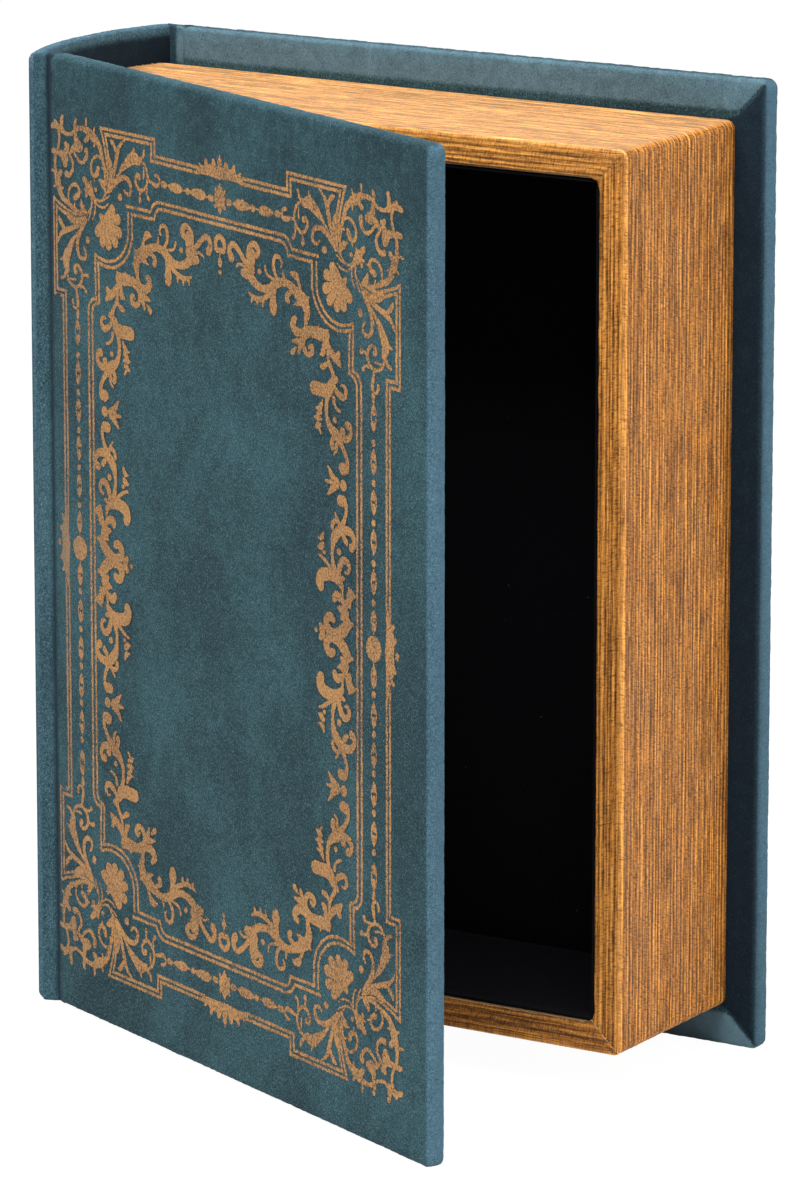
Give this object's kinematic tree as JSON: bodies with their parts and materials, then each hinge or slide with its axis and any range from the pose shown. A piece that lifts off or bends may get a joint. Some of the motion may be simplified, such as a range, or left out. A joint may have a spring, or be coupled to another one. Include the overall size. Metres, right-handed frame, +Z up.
{
  "type": "book-shaped trinket box",
  "caption": "Upright box made like a thick book: velvet case with hinged front cover, bowed spine, and a lined tray edged like pages.",
  "frame": {"origin": "on the standing surface, under the middle of the box's overall extent with the front cover ajar as pictured", "axes": "+X from the spine to the fore-edge, +Y from the front cover to the back cover, +Z up along the height of the book"},
  "size_m": [0.1968, 0.1388, 0.26],
  "materials": {
    "cover_board": "bare greyboard, hidden in use",
    "teal_velvet": "short-pile velvet, soft and mottled",
    "printed_velvet": "short-pile velvet with a copper-gold printed frame",
    "black_lining": "black short-pile velvet",
    "tray_board": "bare fibreboard, hidden in use",
    "page_edge_paper": "embossed gold-brown paper with fine ribs, satin"
  },
  "bodies": {
    "case_and_tray": {"back_board": "cover_board", "back_velvet": "teal_velvet", "back_joint_velvet": "teal_velvet", "spine_board": "cover_board", "spine_velvet": "teal_velvet", "hinge_velvet": "teal_velvet", "tray_wall_top": "tray_board", "tray_wall_bottom": "tray_board", "tray_wall_fore_edge": "tray_board", "tray_wall_spine": "tray_board", "tray_floor": "tray_board", "page_edge_paper": "page_edge_paper", "lining_floor": "black_lining", "lining_top": "black_lining", "lining_bottom": "black_lining", "lining_fore_edge": "black_lining", "lining_spine": "black_lining"},
    "front_cover": {"front_board": "cover_board", "front_velvet": "printed_velvet", "front_lining": "black_lining"}
  },
  "joints": [
    {"name": "cover_hinge", "type": "hinge", "parent": "case_and_tray", "child": "front_cover", "pos_m": [-0.08561, 0.00236, 0.13], "axis": [0, 0, -1], "range_deg": [-23.8, 146.2], "deforming": ["hinge_velvet"]}
  ]
}
